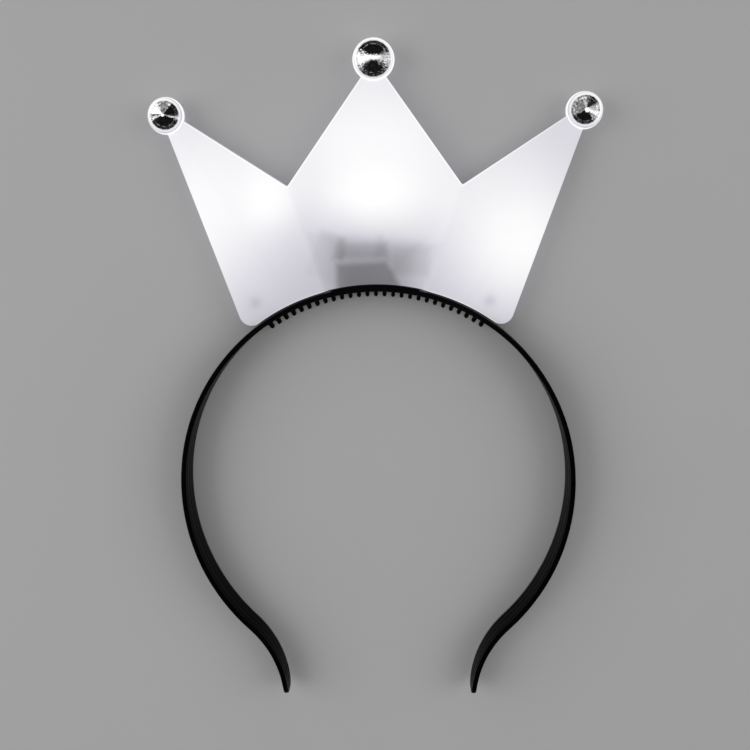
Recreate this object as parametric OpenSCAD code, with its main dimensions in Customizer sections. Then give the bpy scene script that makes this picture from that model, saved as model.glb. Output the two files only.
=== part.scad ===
// Light-up three-point crown on a comb headband, lying on its back.
// The front of the crown faces up, its points lie towards +Y and the band's tips towards -Y.
// Shapes are drawn about the centre of the band's top arc, then moved to the middle of the part.

/* [Headband] */
// Outer radius of the top of the band
band_r = 64.1; // [58:0.5:72]
// Width of the band, from its front edge to its rear edge
band_w = 12; // [10:0.5:16]
// Thickness of the band
band_t = 1.8; // [1.4:0.1:2.6]
// How far the outer face is domed between its edges
band_dome = 0.25; // [0.1:0.05:0.5]
// Outer radius of the band's sides
side_r = 68.5; // [66:0.5:80]
// Where the sides begin, in degrees above the middle of the band
side_start = 9.6; // [5:0.1:20]
// Where the sides end and turn outward, in degrees below the middle
side_end = 46; // [38:0.5:50]
// Radius of the outward turn at each tip
tip_r = 35; // [28:0.5:45]
// Slope that is left at each tip, in degrees
tip_end = 2; // [1:0.5:12]
// Width of the band at its tips
tip_w = 10; // [7:0.5:10]
// Length over which each leg narrows to its tip
taper_l = 46; // [30:1:50]
// Number of lengthwise grooves in the inner face
groove_n = 3; // [1:1:4]
// Width of a groove
groove_w = 0.7; // [0.4:0.1:1.2]
// Depth of a groove
groove_d = 0.35; // [0.2:0.05:0.6]
// Distance between two grooves, across the band
groove_pitch = 3.3; // [2.4:0.1:3.4]

/* [Comb] */
// Number of comb teeth
tooth_n = 27; // [15:2:31]
// Distance between two teeth along the arc
tooth_pitch = 2.8; // [2.4:0.1:3.2]
// Width of a tooth
tooth_w = 1.25; // [0.9:0.05:1.6]
// Length of a tooth
tooth_l = 1.9; // [1.2:0.1:4]
// Depth of a tooth, across the band
tooth_d = 3; // [2:0.5:6]
// Middle of the row of teeth, from the rear edge
tooth_z = 4; // [3.5:0.5:6]

/* [Crown seat] */
// Width of the raised seat on top of the band
seat_w = 28; // [16:1:40]
// Height of the raised seat
seat_h = 0.3; // [0.3:0.1:0.9]
// Radius of the two posts that hold the crown
post_r = 1.6; // [1:0.1:2.2]
// Height of the posts above the band
post_h = 4.5; // [3:0.5:6]
// Where each post stands, in degrees from the middle
post_angle = 22; // [20:1:28]

/* [Crown] */
// Height of the middle stone above the top of the band
center_h = 69.4; // [60:0.2:80]
// How far each side stone stands out past the side of the band
side_out = 1.1; // [-7:0.1:6]
// Height of the side stones above the top of the band
side_h = 53.4; // [46:0.2:60]
// Distance of each notch from the middle
notch_x = 27.3; // [24:0.1:31]
// Height of the notches above the top of the band
notch_h = 31; // [27:0.5:36]
// Half width of the crown's foot, before its corners are rounded
base_half = 41.7; // [39:0.1:46]
// Radius of the foot's corners
corner_r = 4; // [3:0.5:5]
// Half width of the middle point at its stone
center_tip_r = 0.1; // [0.1:0.1:1.5]
// Half width of the side points at their stones
side_tip_r = 1.6; // [0.8:0.1:2]
// Height of the place where the creases meet, above the middle of the band
fan_y = 16; // [8:1:24]
// Depth of the crown at the middle of its foot
base_d = 12; // [11.5:0.25:14]
// Depth of the crown at the middle stone
center_d = 7.5; // [7:0.25:8]
// Depth of the crown at the side stones
side_d = 6.6; // [6:0.25:7]
// Depth of the crown at the corners of its foot
corner_d = 8.5; // [7.5:0.25:9.5]
// Wall of the front shell
wall = 1.5; // [1.2:0.1:2]
// Thickness of the back shell
back_t = 1.8; // [1.5:0.1:2.2]
// Height of the lip on the back shell that stands inside the front shell
lip_h = 1.2; // [0.8:0.1:2]
// Thickness of that lip
lip_t = 0.9; // [0.7:0.1:1.4]
// Radius of the two corner pegs
peg_r = 1.6; // [1.2:0.1:2]
// Distance of each corner peg from the middle
peg_x = 36.8; // [35:0.1:37.5]
// Height of the corner pegs above the crown's foot
peg_rise = 6.6; // [5.6:0.1:8]

/* [Stones] */
// Radius of the middle stone
center_stone_r = 5.5; // [4.5:0.1:5.8]
// Radius of the side stones
side_stone_r = 4.5; // [3.5:0.1:5]
// Radius of the middle ball
center_ball_r = 6.5; // [6.2:0.1:7.5]
// Radius of the side balls
side_ball_r = 5.75; // [5.3:0.05:6.5]
// Width of the rim around each stone
rim_w = 0.6; // [0.4:0.05:0.65]
// Number of facets around a stone
facet_n = 16; // [8:2:20]
// Height of a stone's front above its girdle, as a share of its radius
stone_rise = 0.34; // [0.2:0.02:0.45]
// Depth of a stone's back below its girdle, as a share of its radius
stone_sink = 0.42; // [0.3:0.02:0.5]
// Height of the girdle
girdle_h = 0.5; // [0.3:0.1:0.8]
// Radius of the flat table, as a share of the stone's radius
table_share = 0.2; // [0.12:0.02:0.4]
// Radius of the zigzag ring's inner points, as a share of the stone's radius
zigzag_share = 0.8; // [0.65:0.05:0.9]
// Height of those points above the girdle, as a share of the height of the stone's front
zigzag_rise = 0.3; // [0.15:0.05:0.4]

/* [Lights and battery] */
// Radius of a lamp
led_r = 1.5; // [1.2:0.1:2]
// Height of a lamp
led_h = 5.2; // [4:0.1:5.5]
// Width of a lamp's flange around it
flange_w = 0.4; // [0.2:0.1:0.6]
// Height of a lamp's flange
flange_h = 0.8; // [0.5:0.1:1.2]
// Width of the battery holder
holder_w = 36.4; // [30:0.2:38]
// Height of the battery holder, up the crown
holder_h = 14.6; // [12:0.1:16]
// Wall of the battery holder in front of the cells
holder_wall = 0.8; // [0.6:0.1:1]
// Middle of the battery holder, from the crown's middle
holder_x = -1.1; // [-2:0.1:2]
// Diameter of a stack of cells
cell_d = 5; // [4.6:0.1:5.2]
// Length of a stack of cells
cell_l = 21.4; // [18:0.2:24]
// Middle of the cells, from the crown's middle
cell_x = -2.4; // [-3:0.1:0]
// Width of the battery cover
cover_w = 30; // [24:1:34]
// Height of the battery cover, up the crown
cover_h = 13; // [12.5:0.1:13.5]
// Thickness of the battery cover
cover_t = 0.9; // [0.7:0.1:1]

/* [Clearances] */
// Gap between the band and the crown
seat_gap = 0.25; // [0.15:0.05:0.4]
// Gap around pieces that fit into each other
fit_gap = 0.2; // [0.15:0.05:0.3]

/* [Hidden] */
$fn = 96;

// Longer than any cut, and the overlap that fuses two shapes
far = 300;
fuse = 0.2;

// Each next arc of the band starts this many degrees inside the one before it, and is thinner on both
// faces by this much, so that no two faces lie almost on each other
lap = 0.2;
thinner = 0.02;

// Centres of the arcs that the band is bent to, on its right side
side_c = (band_r - side_r) * [cos(side_start), sin(side_start)];
tip_c = side_c + (side_r + tip_r) * [cos(side_end), -sin(side_end)];
tip_y = tip_c.y + tip_r * sin(tip_end);

// Places on the crown, seen from the front
center_pt = [0, band_r + center_h];
side_pt = [band_r + side_out, band_r + side_h];
notch_pt = [notch_x, band_r + notch_h];
foot_r = band_r + seat_gap;
foot_pt = [base_half, sqrt(foot_r * foot_r - base_half * base_half)];
fan_pt = [0, fan_y];

// The front's five flat facets meet at the fan point. Each is held as its slope along X and Y.
slope_center = [0, (center_d - base_d) / center_h];
fan_d = base_d - slope_center.y * (band_r - fan_y);
slope_inner = slope_through(notch_pt, fan_d + slope_center * (notch_pt - fan_pt), side_pt, side_d);
slope_outer = slope_through(side_pt, side_d, foot_pt, corner_d);

// How far the foot's round corner runs into the foot's arc, so that the two cross
corner_dip = 0.05;

// Each ball is cut flat in front, where its rim has the chosen width, and lies on a small flat
ball_flat = 0.3;

// Where the three lamps stand: across from the middle, and up from the top of the band
lamps = [[-33.1, 26.9], [0.8, 30.5], [37.3, 14.2]];

// The cells lie in two rows, in channels open to the cover. The holder's foot stands clear of the lip.
holder_y = foot_r + wall + lip_t + 2 * fit_gap;
cell_gap = 0.3;
cell_z = back_t + fit_gap + cell_d / 2;

// The cover lies over both rows, on a ledge of this width
cover_y = holder_y + cell_d + 1.5 * cell_gap;
cover_ledge = 1;

// The part's middle, from its top ball to its tips
mid_y = (center_pt.y + center_ball_r + tip_y) / 2;

// Slope of the plane through the fan point that has height z1 at p1 and z2 at p2
function slope_through(p1, z1, p2, z2) =
    let (a = p1 - fan_pt, b = p2 - fan_pt, da = z1 - fan_d, db = z2 - fan_d, det = a.x * b.y - a.y * b.x)
    [(da * b.y - db * a.y) / det, (db * a.x - da * b.x) / det];

// Unit vector at an angle, and the same turned a quarter to the left
function unit(a) = [cos(a), sin(a)];
function left_of(v) = [-v.y, v.x];

// Direction of the line from p that passes a circle of radius r about c, on the side s
function tangent_angle(p, c, r, s) = atan2(c.y - p.y, c.x - p.x) + s * asin(r / norm(c - p));

// Where the line through p along u crosses the line through q along v
function cross_pt(p, u, q, v) =
    let (d = q - p, t = (d.x * v.y - d.y * v.x) / (u.x * v.y - u.y * v.x))
    p + t * u;

// Centre of the round corner between the outer edge and the foot's arc
function corner_pt(u) =
    let (r = foot_r + corner_r, p = foot_pt + corner_r * left_of(u), b = p * u, t = -b + sqrt(b * b - p * p + r * r))
    p + t * u;

// Half of the crown's outline, drawn in by a distance
function half_outline(inset) =
    let (
        center_u = unit(tangent_angle(notch_pt, center_pt, center_tip_r, -1)),
        upper_u = unit(tangent_angle(notch_pt, side_pt, side_tip_r, 1)),
        outer_u = unit(tangent_angle(foot_pt, side_pt, side_tip_r, -1)),
        center_p = notch_pt + inset * left_of(center_u),
        upper_p = notch_pt - inset * left_of(upper_u),
        outer_p = foot_pt + inset * left_of(outer_u),
        corner = corner_pt(outer_u),
        steps = 8,
        from = atan2(outer_u.y, outer_u.x) - 90,
        to = atan2(-corner.y, -corner.x)
    )
    concat(
        [cross_pt(center_p, center_u, [0, 0], [0, 1]),
         cross_pt(center_p, center_u, upper_p, upper_u),
         cross_pt(upper_p, upper_u, outer_p, outer_u)],
        [for (i = [0 : steps - 1]) corner + (corner_r - inset) * unit(from + (to - from) * i / steps)],
        [corner * (foot_r + inset - corner_dip) / norm(corner),
         corner * (band_r - corner_r) / norm(corner),
         [0, band_r - corner_r]]
    );

// Section of the band: distance in from the outer face, and height across the band
function band_section(thin) =
    let (dome_n = 8, low = (band_w - groove_pitch * (groove_n - 1)) / 2, inner = band_t - thin)
    concat(
        [for (i = [0 : dome_n]) [thin + band_dome * pow(2 * i / dome_n - 1, 2), band_w * i / dome_n]],
        [[inner, band_w]],
        [for (i = [groove_n - 1 : -1 : 0]) for (p = [[0, 1], [groove_d, 0.5], [groove_d, -0.5], [0, -1]])
            [inner - p[0], low + i * groove_pitch + p[1] * groove_w / 2]],
        [[inner, 0]]
    );

// One ring of points of a stone
function ring(r, z, turn) = [for (i = [0 : facet_n - 1]) [each r * unit((i + turn) * 360 / facet_n), z]];

// Turns and moves the shapes so that the part's middle is at the origin
module placed() {
    translate([0, -mid_y, 0]) children();
}

// The same thing on both sides
module both_sides() {
    children();
    mirror([1, 0, 0]) children();
}

// A stretch of the band about a centre. The side s is 1 where the outer face is the far one.
module band_arc(c, r, s, from, to, thin) {
    translate(c)
        rotate([0, 0, from])
            rotate_extrude(angle = to - from, $fn = 180)
                polygon([for (p = band_section(thin)) [r - s * p.x, p.y]]);
}

// What is left of a leg once it narrows to its round tip, seen from the side
module leg_profile() {
    rotate([90, 0, 90])
        linear_extrude(far, center = true)
            polygon(concat(
                [[far, band_w], [tip_y + taper_l, band_w]],
                [for (a = [90 : 15 : 270]) [tip_y + tip_w / 2, band_w / 2] + tip_w / 2 * unit(a)],
                [[tip_y + taper_l, 0], [far, 0]]
            ));
}

module tooth() {
    root = band_r - band_t + fuse;
    end = band_r - band_t - tooth_l + tooth_w / 2;
    translate([0, 0, tooth_z - tooth_d / 2])
        linear_extrude(tooth_d) {
            translate([-tooth_w / 2, end]) square([tooth_w, root - end]);
            translate([0, end]) circle(d = tooth_w, $fn = 24);
        }
}

// The raised seat, grown by a clearance
module seat(grow) {
    intersection() {
        difference() {
            translate([0, 0, -grow]) cylinder(r = band_r + seat_h + grow, h = band_w + 2 * grow, $fn = 180);
            translate([0, 0, -1]) cylinder(r = band_r - 2 * band_dome, h = band_w + 2, $fn = 180);
        }
        translate([-seat_w / 2 - grow, 0, -1]) cube([seat_w + 2 * grow, far, band_w + 2]);
    }
}

// The two posts, grown by a clearance
module posts(grow) {
    both_sides()
        rotate([0, 0, -post_angle])
            translate([0, band_r - band_t / 2, band_w / 2])
                rotate([-90, 0, 0]) cylinder(r = post_r + grow, h = band_t / 2 + post_h + grow);
}

module headband() {
    color("#151517") placed() {
        intersection() {
            union() {
                band_arc([0, 0], band_r, 1, side_start, 180 - side_start, 0);
                both_sides() {
                    band_arc(side_c, side_r, 1, -side_end, side_start + lap, thinner);
                    band_arc(tip_c, tip_r, -1, 180 - side_end - lap, 180 - tip_end, 2 * thinner);
                }
            }
            leg_profile();
        }
        for (i = [0 : tooth_n - 1])
            rotate([0, 0, (i - (tooth_n - 1) / 2) * tooth_pitch / (band_r - band_t) * 180 / PI]) tooth();
        seat(0);
        posts(0);
    }
}

// The crown's outline, drawn in by a distance, from a height up
module crown_block(inset, from, to) {
    translate([0, 0, from])
        linear_extrude(to - from)
            difference() {
                both_sides() polygon(half_outline(inset));
                circle(r = foot_r + inset, $fn = 180);
            }
}

// Everything below one facet of the front, lowered by the depth of a wall
module below_facet(slope, depth) {
    steep = norm(slope);
    translate([fan_pt.x, fan_pt.y, fan_d - depth * sqrt(1 + steep * steep)])
        rotate([0, 0, atan2(slope.y, slope.x)])
            rotate([0, -atan(steep), 0])
                translate([-far, -far, -far]) cube([2 * far, 2 * far, far]);
}

// A block of the crown's outline under the folded front
module crown_body(inset, from) {
    intersection() {
        crown_block(inset, from, 2 * base_d);
        below_facet(slope_center, inset);
        below_facet(slope_inner, inset);
        mirror([1, 0, 0]) below_facet(slope_inner, inset);
        below_facet(slope_outer, inset);
        mirror([1, 0, 0]) below_facet(slope_outer, inset);
    }
}

function ball_z(ball_r) = ball_r - ball_flat;
function rim_z(ball_r, stone_r) = ball_z(ball_r) + sqrt(pow(ball_r, 2) - pow(stone_r + rim_w, 2));
function girdle_z(ball_r, stone_r) = rim_z(ball_r, stone_r) - girdle_h;

// A ball with a flat front and back
module ball(at, ball_r, stone_r) {
    intersection() {
        translate([at.x, at.y, ball_z(ball_r)]) sphere(r = ball_r);
        translate([at.x - ball_r, at.y - ball_r, 0]) cube([2 * ball_r, 2 * ball_r, rim_z(ball_r, stone_r)]);
    }
}

// The seat of a stone: a short bore for the girdle and a cone for the pointed back
module stone_seat(at, ball_r, stone_r) {
    r = stone_r + fit_gap;
    sink = stone_sink * stone_r;
    translate([at.x, at.y, girdle_z(ball_r, stone_r) - fit_gap]) {
        cylinder(r = r, h = far);
        translate([0, 0, -sink]) cylinder(r1 = r * table_share, r2 = r, h = sink);
    }
}

module each_ball() {
    ball(center_pt, center_ball_r, center_stone_r);
    both_sides() ball(side_pt, side_ball_r, side_stone_r);
}

module crown_front() {
    color("#f2f2f8") placed() difference() {
        union() {
            difference() {
                crown_body(0, back_t);
                crown_body(wall, -1);
            }
            each_ball();
        }
        stone_seat(center_pt, center_ball_r, center_stone_r);
        both_sides() stone_seat(side_pt, side_ball_r, side_stone_r);
        seat(seat_gap);
        posts(fit_gap);
    }
}

// Radius of a ball at a height, with a clearance
function ball_reach(ball_r, z) = sqrt(pow(ball_r, 2) - pow(ball_z(ball_r) - z, 2)) + fit_gap;

// The room that a ball takes in the back shell and its lip. It takes in the outline's sharp tip as well.
module ball_hole(at, ball_r, tip) {
    translate([at.x, at.y, -1]) cylinder(r = max(ball_reach(ball_r, back_t), norm(tip - at) + fuse), h = far);
    translate([at.x, at.y, back_t]) cylinder(r = ball_reach(ball_r, back_t + lip_h), h = far);
}

// Height of the front's inner face above a place
function ceiling(p) =
    min([for (s = [slope_center, slope_inner, slope_outer])
        fan_d + s * ([abs(p.x), p.y] - fan_pt) - wall * sqrt(1 + s * s)]);

module crown_back() {
    peg = [peg_x, sqrt(foot_r * foot_r - peg_x * peg_x) + peg_rise];
    lip_in = wall + fit_gap;
    color("#e9e9f0") placed() {
        difference() {
            union() {
                crown_block(0, 0, back_t);
                difference() {
                    crown_block(lip_in, back_t - fuse, back_t + lip_h);
                    crown_block(lip_in + lip_t, 0, back_t + 2 * lip_h);
                }
            }
            ball_hole(center_pt, center_ball_r, half_outline(0)[0]);
            both_sides() ball_hole(side_pt, side_ball_r, half_outline(0)[2]);
            seat(seat_gap);
            posts(fit_gap);
            // The cover's recess, and the hole that leaves a ledge for it
            translate([holder_x, cover_y, cover_t / 2 - 0.5])
                cube([cover_w + 2 * fit_gap, cover_h + 2 * fit_gap, cover_t + 1], center = true);
            translate([holder_x, cover_y, 0]) cube([cover_w - 2 * cover_ledge, cover_h - 2 * cover_ledge, far], center = true);
        }
        both_sides() translate([peg.x, peg.y, back_t - fuse])
            cylinder(r = peg_r, h = ceiling(peg + [peg_r, -peg_r]) - fit_gap - back_t + fuse);
    }
}

// A round cut stone: small table, long main facets, a zigzag of small facets, girdle and pointed back
module stone(at, ball_r, stone_r) {
    n = facet_n;
    top = girdle_h;
    points = concat(
        ring(stone_r * table_share, top + stone_r * stone_rise, 0),
        ring(stone_r * zigzag_share, top + stone_r * stone_rise * zigzag_rise, 0),
        ring(stone_r, top, 0.5),
        ring(stone_r, 0, 0.5),
        ring(stone_r * table_share, -stone_r * stone_sink * (1 - table_share), 0.5)
    );
    faces = concat(
        [[for (i = [n - 1 : -1 : 0]) i]],
        [for (i = [0 : n - 1]) let (j = (i + 1) % n) [i, j, n + j, n + i]],
        [for (i = [0 : n - 1]) let (j = (i + 1) % n) [n + i, n + j, 2 * n + i]],
        [for (i = [0 : n - 1]) let (j = (i + 1) % n) [n + j, 2 * n + j, 2 * n + i]],
        [for (k = [2, 3]) for (i = [0 : n - 1]) let (j = (i + 1) % n)
            [k * n + i, k * n + j, (k + 1) * n + j, (k + 1) * n + i]],
        [[for (i = [0 : n - 1]) 4 * n + i]]
    );
    color("#c8ccd6") placed()
        translate([at.x, at.y, girdle_z(ball_r, stone_r)]) polyhedron(points, faces);
}

module stone_center() {
    stone(center_pt, center_ball_r, center_stone_r);
}

module stone_left() {
    stone([-side_pt.x, side_pt.y], side_ball_r, side_stone_r);
}

module stone_right() {
    stone(side_pt, side_ball_r, side_stone_r);
}

// Height of a row of cells up the crown, counted from the lower one
function row_y(row) = holder_y + cell_gap + cell_d / 2 + row * (cell_d + cell_gap);

module battery_holder() {
    color("#8c8c94") placed() difference() {
        translate([holder_x - holder_w / 2, holder_y, back_t])
            cube([holder_w, holder_h, cell_z + (cell_d + fit_gap) / 2 + holder_wall - back_t]);
        for (row = [0, 1]) {
            translate([cell_x - cell_l / 2 - fit_gap, row_y(row), cell_z])
                rotate([0, 90, 0]) cylinder(d = cell_d + fit_gap, h = cell_l + 2 * fit_gap);
            translate([cell_x - cell_l / 2 - fit_gap, row_y(row) - (cell_d + fit_gap) / 2, 0])
                cube([cell_l + 2 * fit_gap, cell_d + fit_gap, cell_z]);
        }
    }
}

module battery_cell(row) {
    color("#55555c") placed()
        translate([cell_x - cell_l / 2, row_y(row), cell_z])
            rotate([0, 90, 0]) cylinder(d = cell_d, h = cell_l);
}

module battery_cell_upper() {
    battery_cell(1);
}

module battery_cell_lower() {
    battery_cell(0);
}

module battery_cover() {
    color("#e9e9f0") placed()
        translate([holder_x - cover_w / 2, cover_y - cover_h / 2, 0]) cube([cover_w, cover_h, cover_t]);
}

// A small domed lamp with a flange, standing on the back shell
module led(at) {
    color("white") placed() translate([at.x, band_r + at.y, back_t]) {
        cylinder(r = led_r + flange_w, h = flange_h);
        cylinder(r = led_r, h = led_h - led_r);
        translate([0, 0, led_h - led_r]) sphere(r = led_r);
    }
}

module led_left() {
    led(lamps[0]);
}

module led_center() {
    led(lamps[1]);
}

module led_right() {
    led(lamps[2]);
}

headband();
crown_front();
crown_back();
stone_center();
stone_left();
stone_right();
battery_holder();
battery_cell_upper();
battery_cell_lower();
battery_cover();
led_left();
led_center();
led_right();
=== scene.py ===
import math
import random

import bmesh
import bpy
from mathutils import Matrix, Vector


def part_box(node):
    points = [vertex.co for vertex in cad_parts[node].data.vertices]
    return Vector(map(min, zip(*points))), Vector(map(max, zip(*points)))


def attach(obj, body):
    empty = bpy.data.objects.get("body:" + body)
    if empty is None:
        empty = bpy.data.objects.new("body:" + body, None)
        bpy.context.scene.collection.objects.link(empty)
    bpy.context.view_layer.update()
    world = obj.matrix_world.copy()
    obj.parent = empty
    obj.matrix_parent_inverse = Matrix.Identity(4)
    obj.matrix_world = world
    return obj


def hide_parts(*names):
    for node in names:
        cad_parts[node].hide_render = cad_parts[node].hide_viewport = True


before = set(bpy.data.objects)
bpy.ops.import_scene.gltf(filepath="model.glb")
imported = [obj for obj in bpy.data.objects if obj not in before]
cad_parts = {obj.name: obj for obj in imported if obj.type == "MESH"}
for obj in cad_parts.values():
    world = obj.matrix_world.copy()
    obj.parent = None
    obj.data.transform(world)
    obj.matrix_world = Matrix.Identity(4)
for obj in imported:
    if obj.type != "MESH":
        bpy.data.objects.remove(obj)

# A light-up crown on a comb headband, lying on its back: the crown points to +Y and its front faces up.
# Sizes are the part's own, in millimetres, and MM turns them into Blender's metres.
MM = 0.001

# Band
BAND_R, BAND_W, BAND_T, BAND_DOME = 64.1, 12.0, 1.8, 0.25
SIDE_R, SIDE_START, SIDE_END = 68.5, 9.6, 46.0
TIP_R, TIP_END, TIP_W, TAPER_L = 35.0, 2.0, 10.0, 46.0
GROOVE_N, GROOVE_W, GROOVE_D, GROOVE_PITCH = 3, 0.7, 0.35, 3.3
BAND_FILLET, TIP_FILLET, TIP_SQUARE = 0.32, 0.8, 2.6

# Comb
TOOTH_N, TOOTH_PITCH, TOOTH_W, TOOTH_L, TOOTH_D, TOOTH_Z = 27, 2.8, 1.25, 1.9, 3.0, 4.0
TOOTH_FILLET, TOOTH_EDGE, TOOTH_ROOT = 0.6, 0.22, 0.4

# Seat and posts on the band
SEAT_W, SEAT_H, SEAT_GAP, SEAT_ROOT, SEAT_EDGE, RECESS_RAMP = 28.0, 0.3, 0.25, 0.5, 0.2, 3.0
POST_R, POST_H, POST_ANGLE, POST_EDGE = 1.6, 4.5, 22.0, 0.4

# Crown
CENTER_H, SIDE_OUT, SIDE_H = 69.4, 1.1, 53.4
NOTCH_X, NOTCH_H = 27.3, 31.0
BASE_HALF, CORNER_R = 41.7, 4.0
CENTER_TIP_R, SIDE_TIP_R = 0.1, 1.6
FAN = Vector((0, 16.0))
BASE_D, CENTER_D, SIDE_D, CORNER_D = 12.0, 7.5, 6.6, 8.5
WALL, BACK_T = 1.5, 1.8
EDGE_FILLET, CREASE_FILLET, SEAM_FILLET, NOTCH_FILLET = 0.42, 0.9, 0.15, 1.8

# Balls and stones
CENTER_BALL_R, SIDE_BALL_R, BALL_FLAT = 6.5, 5.75, 0.3
RIM_W, RIM_FILLET, RIM_RISE = 0.6, 0.2, 0.08
BORE_GAP, BORE_DEPTH = 0.12, 3.2
FACET_N, GIRDLE_H = 16, 0.5

# The camera, found from the photograph: where it stands about the band's centre, how it leans, turns
# and rolls, and its lens
CAMERA_AT = (7.61, 82.79, 318.43)
CAMERA_PITCH, CAMERA_YAW, CAMERA_ROLL = 8.7, 1.5, -0.61
CAMERA_LENS = 46.8


def box_mm(node):
    """A CAD node's lowest and highest corners, in millimetres."""
    low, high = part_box(node)
    return low / MM, high / MM


def middle_mm(node):
    low, high = box_mm(node)
    return (low + high) / 2


# The height of the band's centre: the middle stone stands a known way above it
ARC_Y = middle_mm("stone_center").y - BAND_R - CENTER_H


def unit(angle):
    return Vector((math.cos(angle), math.sin(angle)))


def left_of(direction):
    return Vector((-direction.y, direction.x))


def placed(x, y, z):
    """A point given about the centre of the band's top arc, in millimetres, as a place in the scene."""
    return Vector((x, y + ARC_Y, z)) * MM


# Meshes


def make_object(name, bm, materials, sharp=30.0):
    """An object of a bmesh, shaded smooth up to an angle between faces."""
    bmesh.ops.recalc_face_normals(bm, faces=bm.faces)
    mesh = bpy.data.meshes.new(name)
    bm.to_mesh(mesh)
    bm.free()
    for material in materials:
        mesh.materials.append(material)
    mesh.shade_smooth()
    mesh.set_sharp_from_angle(angle=math.radians(sharp))
    obj = bpy.data.objects.new(name, mesh)
    bpy.context.scene.collection.objects.link(obj)
    return obj


def loft(bm, rings):
    """Quads between closed rings of points, and a face on each end."""
    rows = [[bm.verts.new(point) for point in ring] for ring in rings]
    count = len(rows[0])
    for low, high in zip(rows, rows[1:]):
        for i in range(count):
            j = (i + 1) % count
            bm.faces.new((low[i], low[j], high[j], high[i]))
    bm.faces.new(rows[0][::-1])
    bm.faces.new(rows[-1])


def lathe(bm, profile, at, steps=72):
    """A solid turned about an upright axis, from (radius, height) pairs that start and end on the axis."""
    rings = [
        [placed(at.x + r * math.cos(a), at.y + r * math.sin(a), z) for a in turn(steps)]
        for r, z in profile[1:-1]
    ]
    rows = [[bm.verts.new(point) for point in ring] for ring in rings]
    for low, high in zip(rows, rows[1:]):
        for i in range(steps):
            j = (i + 1) % steps
            bm.faces.new((low[i], low[j], high[j], high[i]))
    for row, (_, z) in ((rows[0], profile[0]), (rows[-1], profile[-1])):
        tip = bm.verts.new(placed(at.x, at.y, z))
        for i in range(steps):
            bm.faces.new((row[i], row[(i + 1) % steps], tip))


def turn(steps):
    return [2 * math.pi * i / steps for i in range(steps)]


def arc_points(center, radius, start, end, steps):
    """Points on an arc, with both its ends. Angles are in degrees."""
    return [
        center + radius * unit(math.radians(start + (end - start) * i / steps))
        for i in range(steps + 1)
    ]


def apply_modifiers(obj):
    """Replaces an object's mesh by what its modifiers make of it."""
    graph = bpy.context.evaluated_depsgraph_get()
    mesh = bpy.data.meshes.new_from_object(obj.evaluated_get(graph))
    obj.modifiers.clear()
    obj.data = mesh


def combine(obj, others, operation):
    """Joins the others to an object, or cuts them from it."""
    for other in others:
        modifier = obj.modifiers.new("cut", "BOOLEAN")
        modifier.object = other
        modifier.operation = operation
        modifier.solver = "EXACT"
    apply_modifiers(obj)
    for other in others:
        bpy.data.objects.remove(other)


# Materials


class Graph:
    """The nodes of one material."""

    def __init__(self, name):
        self.material = bpy.data.materials.new(name)
        self.material.use_nodes = True
        self.tree = self.material.node_tree
        self.shader = self.tree.nodes["Principled BSDF"]

    def put(self, socket, value):
        if isinstance(value, bpy.types.NodeSocket):
            self.tree.links.new(value, socket)
        else:
            socket.default_value = value

    def add(self, kind, inputs=None, **settings):
        node = self.tree.nodes.new("ShaderNode" + kind)
        for name, value in settings.items():
            setattr(node, name, value)
        for name, value in (inputs or {}).items():
            self.put(node.inputs[name], value)
        return node

    def math(self, operation, *values):
        node = self.add("Math", operation=operation)
        for socket, value in zip(node.inputs, values):
            self.put(socket, value)
        return node.outputs[0]

    def vector(self, operation, *values):
        node = self.add("VectorMath", operation=operation)
        for socket, value in zip(node.inputs, values):
            self.put(socket, value)
        return node.outputs["Value" if operation in ("LENGTH", "DOT_PRODUCT") else "Vector"]

    def smooth(self, value, low, high):
        """0 below low, 1 above high and a soft step between them."""
        ends = {"Value": value, "From Min": low, "From Max": high}
        return self.add("MapRange", ends, interpolation_type="SMOOTHSTEP").outputs["Result"]

    def spread(self, value, low, high):
        """A value from 0 to 1 spread over a range."""
        ends = {"Value": value, "To Min": low, "To Max": high}
        return self.add("MapRange", ends).outputs["Result"]

    def place(self):
        """Where a point is on the part, in millimetres."""
        local = self.add("TexCoord").outputs["Object"]
        return self.vector("MULTIPLY", local, (1 / MM, 1 / MM, 1 / MM))

    def noise(self, place, size, detail=2.0, roughness=0.5):
        """Noise from 0 to 1 with blots of about a size in millimetres."""
        inputs = {"Vector": place, "Scale": 1 / size, "Detail": detail, "Roughness": roughness}
        return self.add("TexNoise", inputs).outputs["Fac"]

    def mix(self, share, first, second):
        node = self.add("Mix", data_type="RGBA")
        self.put(node.inputs["Factor"], share)
        self.put(node.inputs[6], first)
        self.put(node.inputs[7], second)
        return node.outputs[2]

    def steps(self, value, limits):
        """A value that changes in steps: what it is up to each limit, from 0 to 1."""
        ramp = self.add("ValToRGB", {"Fac": value})
        ramp.color_ramp.interpolation = "CONSTANT"
        stops = ramp.color_ramp.elements
        starts = [0.0] + [limit for limit, _ in limits[:-1]]
        for start, (_, level) in list(zip(starts, limits))[1:-1]:
            stops.new(start).color = grey(level)
        stops[0].position, stops[0].color = 0.0, grey(limits[0][1])
        stops[-1].position, stops[-1].color = starts[-1], grey(limits[-1][1])
        return ramp.outputs["Color"]

    def bump(self, height, depth, strength=1.0):
        """A bump as deep as a length in millimetres."""
        inputs = {"Height": height, "Distance": depth * MM, "Strength": strength}
        self.put(self.shader.inputs["Normal"], self.add("Bump", inputs).outputs["Normal"])

    def set(self, **values):
        """Sets sockets of the shader by their names, in lower case with underscores."""
        names = {s.name.lower().replace(" ", "_"): s for s in self.shader.inputs}
        for name, value in values.items():
            self.put(names[name], value)


def grey(value, blue=0.0):
    return (value, value, value + blue, 1.0)


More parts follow.
